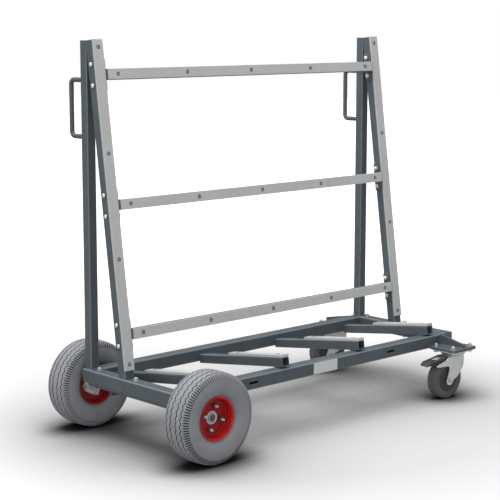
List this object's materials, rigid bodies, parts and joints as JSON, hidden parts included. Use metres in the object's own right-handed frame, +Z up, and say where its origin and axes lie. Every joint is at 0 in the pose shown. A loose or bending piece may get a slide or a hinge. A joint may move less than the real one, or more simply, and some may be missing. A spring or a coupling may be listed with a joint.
{
  "type": "slab buggy",
  "caption": "Steel slab buggy with a leaning ladder rack, padded support arms, two large fixed wheels and two braked swivel castors.",
  "frame": {"origin": "middle of the bounding box on the ground, midway between the large wheels' outer side and the castor end, and midway between the two large tyres' outer faces", "axes": "+X runs along the buggy from the large wheels to the castors, +Y from the slab side to the handle side, +Z up"},
  "size_m": [1.257, 0.6338, 1.153],
  "materials": {
    "frame_paint": "dark grey paint, semi-matt",
    "strip_plastic": "light grey plastic, lightly scuffed",
    "zinc_steel": "bright zinc plating",
    "tyre_rubber": "dark grey rubber, matt",
    "rim_paint": "red paint, semi-gloss",
    "castor_rubber": "dark rubber, matt",
    "castor_plastic": "dark grey plastic",
    "pedal_paint": "dark paint, worn",
    "cap_plastic": "grey plastic",
    "label_film": "plain pale film"
  },
  "bodies": {
    "frame_body": {"front_rail": "frame_paint", "back_rail": "frame_paint", "wheel_end_rail": "frame_paint", "caster_end_rail": "frame_paint", "wheel_end_front_cap": "cap_plastic", "wheel_end_back_cap": "cap_plastic", "caster_end_front_cap": "cap_plastic", "caster_end_back_cap": "cap_plastic", "left_post": "frame_paint", "right_post": "frame_paint", "left_leg": "frame_paint", "right_leg": "frame_paint", "left_leg_strip": "strip_plastic", "right_leg_strip": "strip_plastic", "lower_crossbar": "frame_paint", "middle_crossbar": "frame_paint", "upper_crossbar": "frame_paint", "lower_crossbar_strip": "strip_plastic", "middle_crossbar_strip": "strip_plastic", "upper_crossbar_strip": "strip_plastic", "left_handle": "frame_paint", "right_handle": "frame_paint", "support_arm_1": "frame_paint", "support_arm_2": "frame_paint", "support_arm_3": "frame_paint", "support_arm_4": "frame_paint", "arm_pad_1": "strip_plastic", "arm_pad_2": "strip_plastic", "arm_pad_3": "strip_plastic", "arm_pad_4": "strip_plastic", "label_plate": "label_film", "axle_carrier": "frame_paint", "axle": "frame_paint", "front_axle_ring": "zinc_steel", "back_axle_ring": "zinc_steel", "front_outrigger": "frame_paint", "back_outrigger": "frame_paint", "front_caster_mount_plate": "zinc_steel", "back_caster_mount_plate": "zinc_steel"},
    "front_wheel_body": {"front_wheel_tyre": "tyre_rubber", "front_wheel_outer_rim": "rim_paint", "front_wheel_inner_rim": "rim_paint", "front_wheel_hub": "zinc_steel", "front_wheel_bearing": "zinc_steel"},
    "back_wheel_body": {"back_wheel_tyre": "tyre_rubber", "back_wheel_outer_rim": "rim_paint", "back_wheel_inner_rim": "rim_paint", "back_wheel_hub": "zinc_steel", "back_wheel_bearing": "zinc_steel"},
    "front_caster_body": {"front_caster_fork": "zinc_steel", "front_caster_axle_bolt": "zinc_steel"},
    "front_caster_wheel_body": {"front_caster_tyre": "castor_rubber", "front_caster_core": "castor_plastic"},
    "front_pedal_body": {"front_caster_brake_pedal": "pedal_paint"},
    "back_caster_body": {"back_caster_fork": "zinc_steel", "back_caster_axle_bolt": "zinc_steel"},
    "back_caster_wheel_body": {"back_caster_tyre": "castor_rubber", "back_caster_core": "castor_plastic"},
    "back_pedal_body": {"back_caster_brake_pedal": "pedal_paint"}
  },
  "joints": [
    {"name": "front_wheel_roll", "type": "hinge", "parent": "frame_body", "child": "front_wheel_body", "pos_m": [-0.4985, -0.2692, 0.13], "axis": [0, 1, 0], "continuous": true},
    {"name": "back_wheel_roll", "type": "hinge", "parent": "frame_body", "child": "back_wheel_body", "pos_m": [-0.4985, 0.2692, 0.13], "axis": [0, 1, 0], "continuous": true},
    {"name": "front_caster_swivel", "type": "hinge", "parent": "frame_body", "child": "front_caster_body", "pos_m": [0.5689, -0.2587, 0.14], "axis": [0, 0, 1], "continuous": true},
    {"name": "back_caster_swivel", "type": "hinge", "parent": "frame_body", "child": "back_caster_body", "pos_m": [0.5689, 0.2587, 0.14], "axis": [0, 0, 1], "continuous": true},
    {"name": "front_caster_roll", "type": "hinge", "parent": "front_caster_body", "child": "front_caster_wheel_body", "pos_m": [0.53099, -0.25605, 0.0625], "axis": [-0.0698, -0.9976, 0], "continuous": true},
    {"name": "back_caster_roll", "type": "hinge", "parent": "back_caster_body", "child": "back_caster_wheel_body", "pos_m": [0.53276, 0.27044, 0.0625], "axis": [-0.309, -0.9511, 0], "continuous": true},
    {"name": "front_brake_pedal", "type": "hinge", "parent": "front_caster_body", "child": "front_pedal_body", "pos_m": [0.5265, -0.25573, 0.132], "axis": [-0.0698, -0.9976, 0], "range_deg": [0, 10]},
    {"name": "back_brake_pedal", "type": "hinge", "parent": "back_caster_body", "child": "back_pedal_body", "pos_m": [0.52848, 0.27183, 0.132], "axis": [-0.309, -0.9511, 0], "range_deg": [0, 10]}
  ]
}
